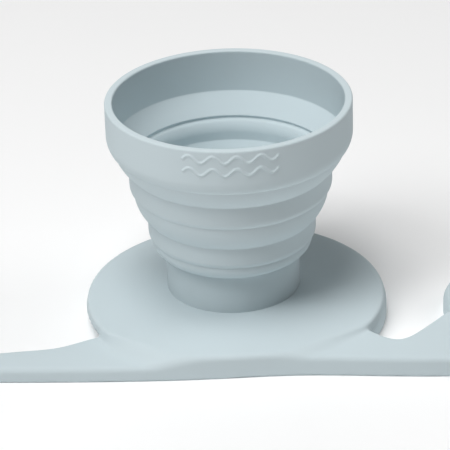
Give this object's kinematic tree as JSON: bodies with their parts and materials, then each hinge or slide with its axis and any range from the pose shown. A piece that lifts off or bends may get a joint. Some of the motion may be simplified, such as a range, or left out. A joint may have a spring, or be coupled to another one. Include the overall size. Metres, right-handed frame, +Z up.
{
  "type": "collapsible cup on a base plate",
  "caption": "Wide-rimmed concertina cup of soft silicone that collapses in stages, standing on a flat lobed plate with a tail and a rounded head.",
  "frame": {"origin": "on the floor, on the cup's axis, at the base plate's underside", "axes": "+Z up along the cup's axis towards the open rim; +X towards the plate's rounded head, -X towards its tail; -Y towards the plate's straight edge"},
  "size_m": [0.2127, 0.1081, 0.0844],
  "materials": {
    "silicone": "matte moulded silicone"
  },
  "bodies": {
    "root": {"base_plate": "silicone", "neck": "silicone", "lower_fold": "silicone"},
    "lower_ring": {"lower_ring": "silicone", "upper_fold": "silicone"},
    "upper_ring": {"upper_ring": "silicone", "rim_fold": "silicone"},
    "rim": {"rim": "silicone"}
  },
  "joints": [
    {"name": "lower_collapse", "type": "slide", "parent": "root", "child": "lower_ring", "axis": [0, 0, 1], "range_m": [-0.012, 0], "deforming": ["lower_fold"]},
    {"name": "upper_collapse", "type": "slide", "parent": "lower_ring", "child": "upper_ring", "axis": [0, 0, 1], "range_m": [-0.021, 0], "deforming": ["upper_fold"]},
    {"name": "rim_collapse", "type": "slide", "parent": "upper_ring", "child": "rim", "axis": [0, 0, 1], "range_m": [-0.0165, 0], "deforming": ["rim_fold"]}
  ]
}
